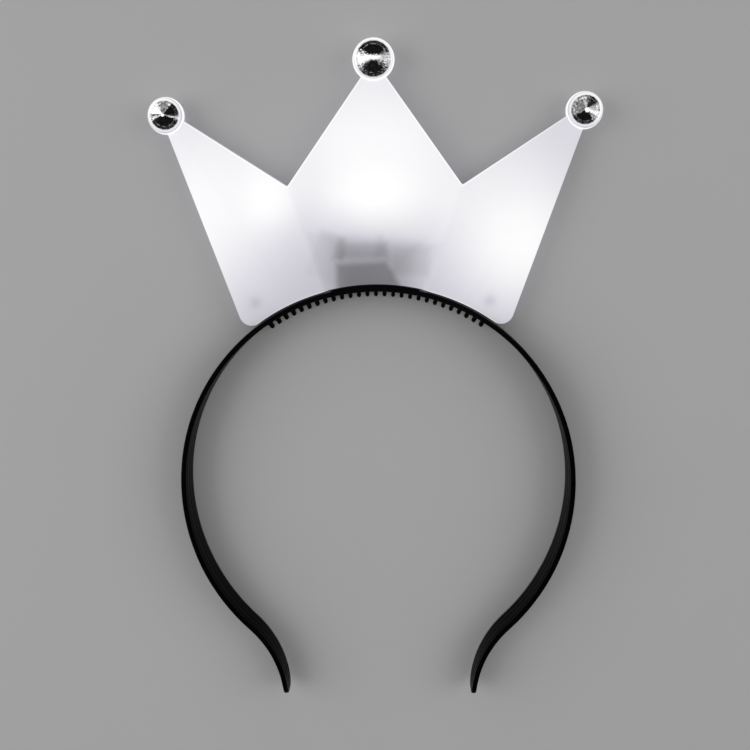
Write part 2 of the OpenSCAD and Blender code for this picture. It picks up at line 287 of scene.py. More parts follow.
def black_plastic():
    """Polished black plastic with faint flow lines and a few duller patches."""
    g = Graph("black_plastic")
    place = g.place()
    blots = g.noise(place, 14.0, 3.0)
    grain = g.noise(g.vector("MULTIPLY", place, (1.0, 1.0, 9.0)), 2.2, 3.0, 0.6)
    g.set(
        base_color=g.mix(blots, grey(0.0006, 0.0001), grey(0.0012, 0.0001)),
        roughness=g.spread(grain, 0.24, 0.38),
        specular_ior_level=0.02,
    )
    g.bump(grain, 0.012)
    return g.material


# The crown's glow, painted into its emission as sRGB levels from 0 to 1: a level at a height up the crown
# and its rise with each millimetre, then the soft pools of light that the lamps inside throw, painted each
# with its strength, place and half widths. These numbers and the shadow's were fitted to the photograph by
# a separate program, then rounded, and a few set by hand.
GLOW_LEVEL, GLOW_Y, GLOW_RISE = 0.769, 83.3, 0.002
PAINTED_LAMP_POOLS = [
    (0.13, (-1.3, 90), (18.5, 11.5)),
    (0.07, (-33, 90), (8.5, 10.5)),
    (0.245, (46, 73), (30, 28)),
    (0.135, (-1, 109), (40, 21)),
    (0.18, (-57, 78.5), (30, 32)),
]
# The battery's shadow, painted onto the glow and the base colour: how deep, from where to where across and
# along, how soft at its edges, and how far its middle leans, its sides flare and its ends tilt for each
# millimetre
SHADOWS = {
    "holder": (0.03, (-17, 16.5), (54, 79), 1.4, 0.08, 0.36, -0.09),
    "haze": (0.12, (-12, 11), (54, 77), 5.5, 0.02, 0.13, -0.08),
    "wing": (0.02, (-20, -9.5), (65.5, 81.5), 1.0, 0.3, -0.08, -0.4),
    "upper_row": (0.08, (-10.5, 4), (72.7, 77.5), 1.5, 0.07, -0.18, -0.02),
    "upper_left_end": (0.075, (-12.5, -10), (72.5, 79), 1.3, 0.2, -0.1, -0.1),
    "upper_right_end": (0.04, (0.5, 3.5), (73.5, 80), 1.5, -0.15, -0.3, 0.2),
    "lower_row": (0.15, (-12, 8.5), (54, 71.4), 1.5, -0.28, -0.28, 0.05),
    "right_block": (0.045, (5, 17), (67.5, 76.3), 1.6, 0.05, 0.05, -0.05),
}
# How much brighter the left and the right inner facet are painted, as the lamps' light falls on them, and
# the painted shadows that the corner pegs cast through the shell
INNER_FACET_LIGHT = (0.017, -0.012)
PEG_SHADOW, PEG_SPREAD, PEG_SHADOW_SPOTS = 0.07, 1.9, ((-38.3, 59.0), (36.1, 59.1))
# The painted bright line along the front's edges, and how much dimmer the walls are painted at a height and
# at the floor
EDGE_GLOW, EDGE_W, OUTER_EDGE_W = 0.08, 0.35, 0.105
WALL_TOP, WALL_NEAR, WALL_FAR = 9.0, 0.16, 0.34
# The balls' painted light and shade: their level at the stone, its painted shade on the round side, the
# painted highlight at its outline, more light towards the point's outer end and painted shade below the
# middle, and the outline's start and end as shares of the radius
BALL_RIM, BALL_DIP_SHADE, BALL_EDGE, BALL_FAR_LIGHT, BALL_UNDER_SHADE = 0.95, -0.1, 0.24, 0.04, 0.14
BALL_EDGE_START, BALL_EDGE_END = 0.93, 0.965
# What the room's light adds to the plastic, taken off the glow again
ROOM_LIGHT = 0.28


def add_painted_lamp_pools(g, place, level):
    """Adds the soft pools of painted light from the lamps inside to a level."""
    for strength, (x, y), (width, height) in PAINTED_LAMP_POOLS:
        away = g.vector("SUBTRACT", place, (x, y, 0))
        away = g.vector("MULTIPLY", away, (1 / width, 1 / height, 0))
        fall = g.math("EXPONENT", g.math("MULTIPLY", g.vector("DOT_PRODUCT", away, away), -1))
        level = g.math("MULTIPLY_ADD", fall, strength, level)
    return level


def shadow(g, place, shape):
    """How much of one shape of the battery's painted shadow lies over a place."""
    depth, across, along, soft, lean, flare, tilt = shape
    away = g.vector("SUBTRACT", place, (sum(across) / 2, sum(along) / 2, 0))
    x, y, _ = g.add("SeparateXYZ", {"Vector": away}).outputs
    side = g.math("ABSOLUTE", g.math("MULTIPLY_ADD", y, -lean, x))
    side = g.math("MULTIPLY_ADD", y, -flare, g.math("SUBTRACT", side, (across[1] - across[0]) / 2))
    end = g.math("ABSOLUTE", g.math("MULTIPLY_ADD", x, -tilt, y))
    end = g.math("SUBTRACT", end, (along[1] - along[0]) / 2)
    outside = g.smooth(g.math("MAXIMUM", side, end), -soft, soft)
    return g.math("MULTIPLY_ADD", outside, -depth, depth)


def crease_side(g, folded, point):
    """How far a place is past the crease that runs through a point, on the right half."""
    along = (point - FAN).normalized()
    away = g.vector("SUBTRACT", folded, (FAN.x, FAN.y, 0))
    return g.vector("DOT_PRODUCT", away, (along.y, -along.x, 0))


def flat_away(g, place, point):
    """A place from a point, across and along only."""
    away = g.vector("SUBTRACT", place, (point.x, point.y, 0))
    return g.vector("MULTIPLY", away, (1, 1, 0))


def edge_distances(g, folded):
    """How far a place is inside the front's outer edge, its upper edges and its foot, on the right half."""
    center_u, upper_u, outer_u = edge_directions()
    inside = []
    for point, inward in (
        (notch_pt(), left_of(center_u)),
        (notch_pt(), -left_of(upper_u)),
        (foot_pt(), left_of(outer_u)),
    ):
        away = g.vector("SUBTRACT", folded, (point.x, point.y, 0))
        inside.append(g.vector("DOT_PRODUCT", away, (inward.x, inward.y, 0)))
    radius = g.vector("LENGTH", g.vector("MULTIPLY", folded, (1, 1, 0)))
    foot = g.math("SUBTRACT", radius, BAND_R + SEAT_GAP)
    upper = g.math("MAXIMUM", inside[0], inside[1])
    return inside[2], upper, foot


def wall_share(g, folded, outer, upper, foot):
    """1 on the walls round the front, and 0 inside its outline."""
    inside = g.math("MINIMUM", g.math("MINIMUM", outer, upper), foot)
    outer_u = edge_directions()[2]
    center = corner_center(outer_u)
    inward_u = left_of(center.normalized())
    away = flat_away(g, folded, center)
    up = g.vector("DOT_PRODUCT", away, (outer_u.x, outer_u.y, 0))
    inward = g.vector("DOT_PRODUCT", away, (inward_u.x, inward_u.y, 0))
    in_corner = g.math("LESS_THAN", g.math("MAXIMUM", up, inward), 0)
    change = g.math("SUBTRACT", g.math("SUBTRACT", CORNER_R, g.vector("LENGTH", away)), inside)
    inside = g.math("MULTIPLY_ADD", change, in_corner, inside)
    return g.math("SUBTRACT", 1, g.smooth(inside, 0.02, 0.12))


def add_peg_shadows(g, place, level):
    """Takes the corner pegs' painted shadows from a level."""
    for spot in PEG_SHADOW_SPOTS:
        away = flat_away(g, place, Vector(spot))
        far = g.math("MULTIPLY", g.vector("DOT_PRODUCT", away, away), -1 / PEG_SPREAD**2)
        level = g.math("MULTIPLY_ADD", g.math("EXPONENT", far), -PEG_SHADOW, level)
    return level


def add_edges(g, folded, z, level):
    """Adds the painted bright line along the front's edges to a level, and dims the walls below it with
    painted shade.
    """
    outer, upper, foot = edge_distances(g, folded)
    rim = g.math("MINIMUM", upper, foot)
    rim = g.math("MINIMUM", rim, g.math("ADD", outer, EDGE_W - OUTER_EDGE_W))
    edge = g.math("SUBTRACT", 1, g.smooth(rim, 0.5 * EDGE_W, 1.5 * EDGE_W))
    level = g.math("MULTIPLY_ADD", edge, EDGE_GLOW, level)
    wall = wall_share(g, folded, outer, upper, foot)
    dim = g.math("MULTIPLY_ADD", g.smooth(z, 0, WALL_TOP), WALL_NEAR - WALL_FAR, WALL_FAR)
    return g.math("MULTIPLY_ADD", wall, g.math("MULTIPLY", dim, -1), level)


def add_balls(g, folded, level):
    """Paints the balls' own light and shade onto their level."""
    for at, ball_r, node in (
        (center_pt(), CENTER_BALL_R, "stone_center"),
        (side_pt(), SIDE_BALL_R, "stone_right"),
    ):
        away = g.vector("SUBTRACT", folded, (at.x, at.y, ball_r - BALL_FLAT))
        ball = g.math("SUBTRACT", 1, g.smooth(g.vector("LENGTH", away), ball_r - 0.1, ball_r + 0.5))
        across = g.vector("LENGTH", g.vector("MULTIPLY", away, (1, 1, 0)))
        rim_r = stone_radius(node) + RIM_W
        outward = (at - FAN).normalized() * BALL_FAR_LIGHT / ball_r
        own = g.math("ADD", g.vector("DOT_PRODUCT", away, (outward.x, outward.y, 0)), BALL_RIM)
        own = g.math("MULTIPLY_ADD", g.smooth(across, rim_r - 0.1, rim_r + 0.15), BALL_DIP_SHADE, own)
        up = g.smooth(g.add("SeparateXYZ", {"Vector": away}).outputs["Z"], -1.0, 1.0)
        edge = g.smooth(across, BALL_EDGE_START * ball_r, BALL_EDGE_END * ball_r)
        own = g.math("MULTIPLY_ADD", g.math("MULTIPLY", edge, BALL_EDGE), up, own)
        own = g.math("MULTIPLY_ADD", g.math("SUBTRACT", 1, up), -BALL_UNDER_SHADE, own)
        level = g.math("MULTIPLY_ADD", g.math("SUBTRACT", own, level), ball, level)
    return level


def glow_level(g, place):
    """How bright the lit crown looks at a place, as an sRGB level painted into its emission, and how deep
    the battery's painted shadow is there.
    """
    place = g.vector("SUBTRACT", place, (0, ARC_Y, 0))
    x, y, z = g.add("SeparateXYZ", {"Vector": place}).outputs
    level = g.math("MULTIPLY_ADD", y, GLOW_RISE, GLOW_LEVEL - GLOW_Y * GLOW_RISE)
    level = add_painted_lamp_pools(g, place, level)
    folded = g.vector("ABSOLUTE", place)
    # Painted light on the inner facets, past the creases
    inner = g.smooth(crease_side(g, folded, notch_pt()), -1, 1)
    left, right = INNER_FACET_LIGHT
    facet_light = g.math("MULTIPLY_ADD", g.smooth(x, -1, 1), right - left, left)
    level = g.math("MULTIPLY_ADD", inner, facet_light, level)

    battery_shadow = 0.0
    for shape in SHADOWS.values():
        battery_shadow = g.math("ADD", battery_shadow, shadow(g, place, shape))
    level = g.math("SUBTRACT", level, battery_shadow)
    level = add_peg_shadows(g, place, level)
    level = add_edges(g, folded, z, level)
    return add_balls(g, folded, level), battery_shadow


def frosted_white():
    """White frosted plastic lit from inside by three lamps; its glow and the battery's shadow behind it are
    painted into emission and base colour.
    """
    g = Graph("frosted_white")
    place = g.place()
    level, battery_shadow = glow_level(g, place)
    cloud = g.noise(place, 9.0, 4.0, 0.55)
    level = g.math("MULTIPLY_ADD", g.math("SUBTRACT", cloud, 0.5), 0.012, level)
    # The battery's painted shadow darkens the base colour too, so less of the room's light is taken off the
    # glow there
    shade = g.math("MULTIPLY_ADD", g.smooth(battery_shadow, 0.0, 0.45), -0.7, 1)
    light = g.math("MULTIPLY_ADD", shade, -ROOM_LIGHT, g.math("POWER", g.math("MAXIMUM", level, 0), 2.2))
    whiteness = g.smooth(level, 0.78, 1.0)
    grain = g.noise(place, 0.35, 2.0)
    g.set(
        base_color=g.mix(shade, (0.0, 0.0, 0.0, 1), (0.5, 0.492, 0.53, 1)),
        roughness=g.spread(cloud, 0.42, 0.52),
        coat_weight=0.12,
        coat_roughness=0.3,
        emission_color=g.mix(whiteness, (0.93, 0.91, 1.03, 1), (1.0, 1.0, 0.985, 1)),
        emission_strength=g.math("MAXIMUM", light, 0.0),
    )
    g.bump(grain, 0.004)
    return g.material


def sector_reflection_tone(g, place, streaks, sectors, ragged):
    """The painted reflection's tone of the sector that a place lies in, with ragged ends between the
    sectors.
    """
    x, y, _ = g.add("SeparateXYZ", {"Vector": place}).outputs
    turned_by = g.math("MULTIPLY_ADD", g.math("ARCTAN2", y, x), 0.5 / math.pi, 1.0)
    turned_by = g.math("FRACT", g.math("MULTIPLY_ADD", streaks, ragged, turned_by))
    return g.steps(turned_by, [(limit / 360, light) for limit, light in sectors])


def break_up(g, tone, facet, specks, streaks):
    """A tone broken up by painted glints as specks and streaks, most in the greys and least in the darks.
    """
    busy = g.math("MULTIPLY", tone, g.math("MULTIPLY_ADD", tone, -1.35, 1.5))
    busy = g.math("ADD", busy, 0.08)
    change = g.math("MULTIPLY_ADD", specks, SPECKS, g.math("MULTIPLY", streaks, STREAKS))
    change = g.math("MULTIPLY_ADD", g.math("SUBTRACT", facet, 0.5), FACETS, change)
    return g.math("MULTIPLY_ADD", change, busy, tone)


def cut_stone(node):
    """Foil-backed cut glass with painted reflections: dark, grey and white sectors that meet at a bright
    spot, with specks.
    """
    sectors, (hub_x, hub_y, hub_w, hub_h) = STONE_LIGHT[node]
    g = Graph("cut_" + node)
    place = g.add("Attribute", attribute_name="across").outputs["Vector"]
    facet = g.add("Attribute", attribute_name="facet").outputs["Fac"]
    radius = g.vector("LENGTH", place)
    jump = g.add("CombineXYZ", {"Z": g.math("MULTIPLY", facet, 41.0)}).outputs[0]
    rays = g.vector("MULTIPLY_ADD", place, (0.7, 0.7, 0.7), g.vector("NORMALIZE", place))
    streaks = g.noise(g.vector("ADD", rays, jump), STREAK_SIZE, 2.0, 0.6)
    streaks = g.math("SUBTRACT", streaks, 0.5)
    sparkle = g.noise(g.vector("ADD", place, jump), SPECK_SIZE, 2.0, 0.6)
    specks = g.math("SUBTRACT", sparkle, 0.5)
    tone = sector_reflection_tone(g, place, streaks, sectors, RAGGED + RAGGED_BY_HUB * hub_w)
    level = break_up(g, tone, facet, specks, streaks)

    rim = g.math("MULTIPLY", g.smooth(radius, RING_AT + 0.02, RING_AT + 0.1), RIM_SHARE)
    rim_level = g.math("MULTIPLY_ADD", tone, 0.75, 0.14)
    rim_level = g.math("MULTIPLY_ADD", specks, RIM_SPECKS, rim_level)
    level = g.math("MULTIPLY_ADD", g.math("SUBTRACT", rim_level, level), rim, level)
    ring = g.math("MULTIPLY", g.math("SUBTRACT", radius, RING_AT), 1 / RING_W)
    ring = g.math("EXPONENT", g.math("MULTIPLY", g.math("MULTIPLY", ring, ring), -1.0))
    ring = g.math("MULTIPLY", ring, g.smooth(sparkle, 0.42, 0.66))
    level = g.math("MULTIPLY_ADD", ring, RING_LIGHT, level)
    hub = g.vector("SUBTRACT", place, (hub_x, hub_y, 0))
    hub = g.vector("LENGTH", g.vector("MULTIPLY", hub, (1 / hub_w, 1 / hub_h, 0)))
    hub = g.math("MULTIPLY_ADD", streaks, HUB_SPIKES * hub_w**2, hub)
    hub = g.math("SUBTRACT", 1, g.smooth(hub, 0.8, 1.1))
    flash = g.math("MINIMUM", g.math("MAXIMUM", g.math("MAXIMUM", level, hub), 0.0), 1.0)
    # The painted flash sets both the base colour and the emission
    g.set(
        base_color=g.mix(flash, grey(0.002), grey(0.3, 0.01)),
        roughness=g.spread(sparkle, 0.02, 0.1),
        specular_ior_level=0.08,
        emission_color=grey(1.0),
        emission_strength=g.math("MULTIPLY", g.math("POWER", flash, 2.2), 0.9),
    )
    return g.material


def moulded(name, low, high, roughness):
    """Plain moulded plastic with a fine grain."""
    g = Graph(name)
    place = g.place()
    g.set(
        base_color=g.mix(g.noise(place, 6.0, 3.0), low, high),
        roughness=g.spread(g.noise(place, 1.0), roughness - 0.06, roughness + 0.06),
    )
    g.bump(g.noise(place, 0.5), 0.01)
    return g.material


def cell_steel():
    """Nickel-plated cans with fine lines round them."""
    g = Graph("cell_steel")
    place = g.place()
    lines = g.noise(g.vector("MULTIPLY", place, (12.0, 1.0, 1.0)), 3.0, 3.0)
    g.set(
        base_color=g.mix(lines, grey(0.45), grey(0.62)),
        metallic=1.0,
        roughness=g.spread(lines, 0.22, 0.4),
    )
    return g.material


def lamp_plastic():
    """A clear domed lamp, lit."""
    g = Graph("lamp")
    place = g.place()
    g.set(
        base_color=g.mix(g.noise(place, 1.5), grey(0.85), grey(0.95)),
        roughness=g.spread(g.noise(place, 0.8), 0.1, 0.2),
        emission_color=grey(1.0),
        emission_strength=3.0,
    )
    return g.material


def floor_material():
    """A pale matt floor with a faint mottle."""
    g = Graph("floor")
    place = g.place()
    mottle = g.noise(place, 60.0, 4.0)
    g.set(
        base_color=g.mix(mottle, grey(0.60), grey(0.63)),
        roughness=g.spread(mottle, 0.6, 0.75),
        specular_ior_level=0.2,
    )
    g.bump(g.noise(place, 1.2, 3.0), 0.02)
    return g.material


# Band


def band_stations():
    """The band's right half as (place on the outer face, outward direction, length left to the tip)."""
    start, end = math.radians(SIDE_START), math.radians(SIDE_END)
    side_c = (BAND_R - SIDE_R) * unit(start)
    tip_c = side_c + (SIDE_R + TIP_R) * unit(-end)
    lengths = [
        BAND_R * (math.pi / 2 - start),
        SIDE_R * (start + end),
        TIP_R * (end - math.radians(TIP_END)),
    ]
    whole = sum(lengths)
    round_end = [TIP_W / 2 * (1 - math.cos(math.pi / 2 * i / 16)) for i in range(16, -1, -1)]
    steps = 175
    places = [(whole - TIP_W / 2) * i / steps for i in range(steps)]
    places += [whole - left for left in round_end]
    stations = []
    for s in places:
        if s <= lengths[0]:
            out = unit(math.pi / 2 - s / BAND_R)
            point = BAND_R * out
        elif s <= lengths[0] + lengths[1]:
            out = unit(start - (s - lengths[0]) / SIDE_R)
            point = side_c + SIDE_R * out
        else:
            out = -unit(math.pi - end + (s - lengths[0] - lengths[1]) / TIP_R)
            point = tip_c - TIP_R * out
        stations.append((point, out, whole - s))
    return stations


def half_width(y, tip_y, left):
    """Half the band's width at a height, narrowing to the round tip."""
    if left < TIP_W / 2:
        share = 1 - 2 * left / TIP_W
        return max(TIP_W / 2 * (1 - share**TIP_SQUARE) ** (1 / TIP_SQUARE), 0.2)
    share = min(max((y - tip_y - TIP_W / 2) / (TAPER_L - TIP_W / 2), 0), 1)
    return TIP_W / 2 + share * (BAND_W - TIP_W) / 2


def groove_depth(u):
    """Depth of a groove across its half width, as a share of its full depth."""
    return max(min((1 - abs(u)) / 0.55, 1), 0) ** 1.5


def round_corner(d, z, f, turns, up):
    """Points on a round edge about its centre. Up is 1 for the upper edge and -1 for the lower."""
    angles = [math.radians(turned_by) for turned_by in turns]
    return [(d - f * math.cos(a), z + up * f * math.sin(a)) for a in angles]


def band_ring(half, left):
    """One section of the band: (distance in from the outer face, height about the middle) all round."""
    near_tip = max(0, 1 - left / TIP_W)
    f = min(BAND_FILLET + (TIP_FILLET - BAND_FILLET) * near_tip**2, half * 0.4)
    round_off = 0.0
    if left < TIP_FILLET:
        round_off = 0.95 * (TIP_FILLET - math.sqrt(TIP_FILLET**2 - (TIP_FILLET - left) ** 2))
        f = min(f, 0.45 * (BAND_T - 2 * round_off))
    low, high = round_off, BAND_T - round_off
    ring = []
    dome_n = 12
    for i in range(dome_n + 1):
        z = (half - f) * (2 * i / dome_n - 1)
        ring.append((low + BAND_DOME * (z / half) ** 2, z))
    edge = ring[-1][0]
    ring += round_corner(edge + f, half - f, f, (30, 60, 90), 1)
    ring += round_corner(high - f, half - f, f, (120, 150, 180), 1)
    fade = min(1, left / TIP_W) * half / (BAND_W / 2)
    for i in range(GROOVE_N - 1, -1, -1):
        middle = (i - (GROOVE_N - 1) / 2) * GROOVE_PITCH * half / (BAND_W / 2)
        for u in (1, 0.75, 0.5, 0.25, -0.25, -0.5, -0.75, -1):
            z = middle + u * GROOVE_W / 2 * half / (BAND_W / 2)
            ring.append((high - GROOVE_D * fade * groove_depth(u), z))
    ring += round_corner(high - f, -half + f, f, (180, 150, 120), -1)
    ring += round_corner(edge + f, -half + f, f, (90, 60, 30), -1)
    return ring


def band_rings():
    right = band_stations()
    tip_y = right[-1][0].y
    rings = []
    for point, out, left in right:
        section = band_ring(half_width(point.y, tip_y, left), left)
        rings.append([(point - d * out, z) for d, z in section])
    mirrored = [[(Vector((-p.x, p.y)), z) for p, z in ring] for ring in rings[:0:-1]]
    return [[placed(p.x, p.y, BAND_W / 2 + z) for p, z in ring] for ring in mirrored + rings]


def tooth_outline(inset):
    """Half of a tooth in its own plane, from its root in the band to its round end: across, and inward."""
    half = TOOTH_W / 2 - inset
    root = []
    for a in (90, 65, 40, 15, 0):
        r = TOOTH_FILLET + inset
        x = TOOTH_W / 2 + TOOTH_FILLET - r * math.cos(math.radians(a))
        root.append((x, TOOTH_FILLET - r * math.sin(math.radians(a))))
    end = []
    for a in range(0, 90, 18):
        y = TOOTH_L - TOOTH_W / 2 + half * math.sin(math.radians(a))
        end.append((half * math.cos(math.radians(a)), y))
    return [(root[0][0], -TOOTH_ROOT)] + root + end


def add_tooth(bm, angle):
    out = unit(angle)
    across = -left_of(out)
    face = BAND_R - BAND_T
    rounded = ((TOOTH_EDGE, 0.0), (0.07, 0.06), (0.0, TOOTH_EDGE))
    levels = [(inset, -TOOTH_D / 2 + z) for inset, z in rounded]
    levels += [(inset, TOOTH_D / 2 - z) for inset, z in rounded[::-1]]
    rings = []
    for inset, z in levels:
        half = tooth_outline(inset)
        outline = half + [(0, TOOTH_L - inset)] + [(-x, y) for x, y in half[::-1]]
        height = TOOTH_Z + z
        flat = [x * across + (face - y) * out for x, y in outline]
        rings.append([placed(p.x, p.y, height) for p in flat])
    loft(bm, rings)


def add_seat(bm):
    """The low raised seat on top of the band."""
    half_angle = math.asin(SEAT_W / 2 / (BAND_R + SEAT_H))
    top, low = BAND_R + SEAT_H, BAND_R - SEAT_ROOT
    section = [(low, 0.35), (top - SEAT_EDGE, 0.02), (top - 0.06, 0.08), (top, SEAT_EDGE + 0.02)]
    section += [(r, BAND_W - z) for r, z in section[::-1]]
    rings = []
    steps = 28
    for i in range(steps + 1):
        share = 2 * i / steps - 1
        out = unit(math.pi / 2 - half_angle * share)
        drop = 0.12 if abs(share) == 1 else 0.0
        rings.append([placed(out.x * (r - drop), out.y * (r - drop), z) for r, z in section])
    loft(bm, rings)


def add_posts(bm):
    """The two pegs that hold the crown on the band."""
    for side in (-1, 1):
        out = unit(math.pi / 2 - side * math.radians(POST_ANGLE))
        across = left_of(out)
        rings = []
        for r, h in ((POST_R, -BAND_T / 2), (POST_R, POST_H - POST_EDGE), (POST_R - POST_EDGE, POST_H)):
            ring = []
            for a in turn(32):
                p = (BAND_R + h) * out + r * math.cos(a) * across
                ring.append(placed(p.x, p.y, BAND_W / 2 + r * math.sin(a)))
            rings.append(ring)
        loft(bm, rings)


def build_band(material):
    bm = bmesh.new()
    loft(bm, band_rings())
    step = TOOTH_PITCH / (BAND_R - BAND_T)
    for i in range(TOOTH_N):
        add_tooth(bm, math.pi / 2 - (i - (TOOTH_N - 1) / 2) * step)
    add_seat(bm)
    add_posts(bm)
    return make_object("comb_band", bm, [material], sharp=40)


# Crown


def center_pt():
    return Vector((0, BAND_R + CENTER_H))


def side_pt():
    return Vector((BAND_R + SIDE_OUT, BAND_R + SIDE_H))


def notch_pt():
    return Vector((NOTCH_X, BAND_R + NOTCH_H))


def foot_pt():
    foot_r = BAND_R + SEAT_GAP
    return Vector((BASE_HALF, math.sqrt(foot_r**2 - BASE_HALF**2)))


def tangent_angle(p, c, r, side):
    """Direction of the line from p that passes a circle of radius r about c, on one side."""
    away = c - p
    return math.atan2(away.y, away.x) + side * math.asin(r / away.length)


def crossing(p, u, q, v):
    """Where the line through p along u meets the line through q along v."""
    d = q - p
    t = (d.x * v.y - d.y * v.x) / (u.x * v.y - u.y * v.x)
    return p + t * u


def corner_center(along):
    """Centre of the round corner between the outer edge and the foot's arc."""
    r = BAND_R + SEAT_GAP + CORNER_R
    p = foot_pt() + CORNER_R * left_of(along)
    b = p.dot(along)
    return p + (-b + math.sqrt(b * b - p.dot(p) + r * r)) * along


def edge_directions():
    """Directions of the right half's edges: from the notch to either point, and from the foot up."""
    return (
        unit(tangent_angle(notch_pt(), center_pt(), CENTER_TIP_R, -1)),
        unit(tangent_angle(notch_pt(), side_pt(), SIDE_TIP_R, 1)),
        unit(tangent_angle(foot_pt(), side_pt(), SIDE_TIP_R, -1)),
    )


def half_outline(inset):
    """The crown's right half from its top to the middle of its foot, drawn in by a distance."""
    center_u, upper_u, outer_u = edge_directions()
    center_p = notch_pt() + inset * left_of(center_u)
    upper_p = notch_pt() - inset * left_of(upper_u)
    outer_p = foot_pt() + inset * left_of(outer_u)
    corner = corner_center(outer_u)
    start = math.degrees(math.atan2(outer_u.y, outer_u.x)) - 90
    end = math.degrees(math.atan2(-corner.y, -corner.x))
    foot_r = BAND_R + SEAT_GAP + inset
    foot_start = math.degrees(math.atan2(corner.y, corner.x))
    recess_x = SEAT_W / 2 + SEAT_GAP
    recess_a = math.degrees(math.acos(recess_x / foot_r))
    points = [
        crossing(center_p, center_u, Vector((0, 0)), Vector((0, 1))),
        crossing(center_p, center_u, upper_p, upper_u),
        crossing(upper_p, upper_u, outer_p, outer_u),
    ]
    points += arc_points(corner, CORNER_R - inset, start, end, 10)
    origin = Vector((0, 0))
    points += arc_points(origin, foot_r, foot_start, recess_a - RECESS_RAMP, 20)[1:]
    # The recess over the seat starts on a slope
    recess_r = max(foot_r, BAND_R + SEAT_H + SEAT_GAP)
    points += arc_points(origin, recess_r, recess_a, 90, 10)[0 if recess_r > foot_r else 1:]
    return points


def slope_through(p1, z1, p2, z2, fan_d):
    """Slope of the plane through the fan point that has height z1 at p1 and z2 at p2."""
    a, b = p1 - FAN, p2 - FAN
    da, db = z1 - fan_d, z2 - fan_d
    det = a.x * b.y - a.y * b.x
    return Vector(((da * b.y - db * a.y) / det, (db * a.x - da * b.x) / det))


def front_slopes():
    """Height of the fan point, and the slopes of the middle, inner and outer facets."""
    middle = Vector((0, (CENTER_D - BASE_D) / CENTER_H))
    fan_d = BASE_D - middle.y * (BAND_R - FAN.y)
    at_notch = fan_d + middle.dot(notch_pt() - FAN)
    inner = slope_through(notch_pt(), at_notch, side_pt(), SIDE_D, fan_d)
    outer = slope_through(side_pt(), SIDE_D, foot_pt(), CORNER_D, fan_d)
    return fan_d, (middle, inner, outer)


def front_height(point, lower):
    """Height of the folded front at a place, lowered square to each facet."""
    fan_d, slopes = front_slopes()
    away = Vector((abs(point.x), point.y - FAN.y))
    return min(fan_d + s.dot(away) - lower * math.sqrt(1 + s.length_squared) for s in slopes)


def split_at_creases(outline, creases):
    """Adds a point where an outline crosses a crease line from the fan point."""
    result = []
    for p, q in zip(outline, outline[1:] + outline[:1]):
        result.append(p)
        for along in creases:
            a = (p - FAN).cross(along)
            b = (q - FAN).cross(along)
            if a * b < 0 and min(abs(a), abs(b)) > 1e-4:
                result.append(p + (q - p) * a / (a - b))
    return result


def clip(polygon, along, keep):
    """The part of a polygon on one side of a crease line."""
    sides = [keep * (p - FAN).cross(along) for p in polygon]
    return [p for p, s in zip(polygon, sides) if s > -1e-3]


def shell_layer(bm, inset):
    """The front's five facets and the walls round them, down to the back shell. Returns the open edges."""
    right = half_outline(inset)
    outline = right + [Vector((-p.x, p.y)) for p in right[-2:0:-1]]
    notch_u = (notch_pt() - FAN).normalized()
    side_u = (side_pt() - FAN).normalized()
    mirror = [Vector((-u.x, u.y)) for u in (notch_u, side_u)]
    outline = split_at_creases(outline, [notch_u, side_u] + mirror)

    verts = {}

    def vert(p, z):
        key = (round(p.x, 4), round(p.y, 4), round(z, 4))
        if key not in verts:
            verts[key] = bm.verts.new(placed(p.x, p.y, z))
        return verts[key]

    top = [vert(p, front_height(p, inset)) for p in outline]
    low = [vert(p, BACK_T) for p in outline]
    for i in range(len(outline)):
        j = (i + 1) % len(outline)
        bm.faces.new((top[i], top[j], low[j], low[i]))
    middle = clip(clip(outline, notch_u, -1), mirror[0], 1)
    facets = [middle]
    for flip in (1, -1):
        a, b = (notch_u, side_u) if flip == 1 else mirror
        inner = clip(clip(outline, a, flip), b, -flip)
        facets += [inner, clip(outline, b, flip)]
    for facet in facets:
        bm.faces.new([vert(p, front_height(p, inset)) for p in facet])
    return [bm.edges.get((low[i], low[(i + 1) % len(low)])) for i in range(len(low))]


def ball_profile(ball_r, stone_r):
    """Outline of a ball with a flat front whose edge is rounded: (radius, height) pairs."""
    ball_z = ball_r - BALL_FLAT
    rim_z = ball_z + math.sqrt(ball_r**2 - (stone_r + RIM_W) ** 2)
    low = math.degrees(math.asin(-ball_z / ball_r))
    high = math.degrees(math.asin((rim_z - ball_z) / ball_r)) - 2.0
    steps = 30
    profile = [(0, 0)]
    for i in range(steps + 1):
        a = math.radians(low + (high - low) * i / steps)
        profile.append((ball_r * math.cos(a), ball_z + ball_r * math.sin(a)))
    last_r, last_z = profile[-1]
    rise = rim_z + RIM_RISE - last_z
    for share in (0.35, 0.75, 1.0):
        a = math.pi / 2 * share
        profile.append((last_r - RIM_FILLET * (1 - math.cos(a)), last_z + rise * math.sin(a)))
    profile.append((0, rim_z + RIM_RISE))
    return profile, rim_z


def bore_profile(stone_r, rim_z):
    """What the stone's seat takes out of a ball, with a rounded edge at the rim."""
    r = stone_r + BORE_GAP
    low, high = rim_z - BORE_DEPTH, rim_z + 2.0
    rounded = [(0, -0.16), (0.04, -0.04), (0.13, 0.06), (0.3, RIM_RISE + 0.02)]
    profile = [(0, low), (r * 0.25, low), (r - 0.1, rim_z - 0.75), (r, rim_z - 0.6)]
    profile += [(r + out, rim_z + up) for out, up in rounded]
    return profile + [(r + 0.3, high), (0, high)]


def turned(name, profile, at):
    bm = bmesh.new()
    lathe(bm, profile, at)
    return make_object(name, bm, [])


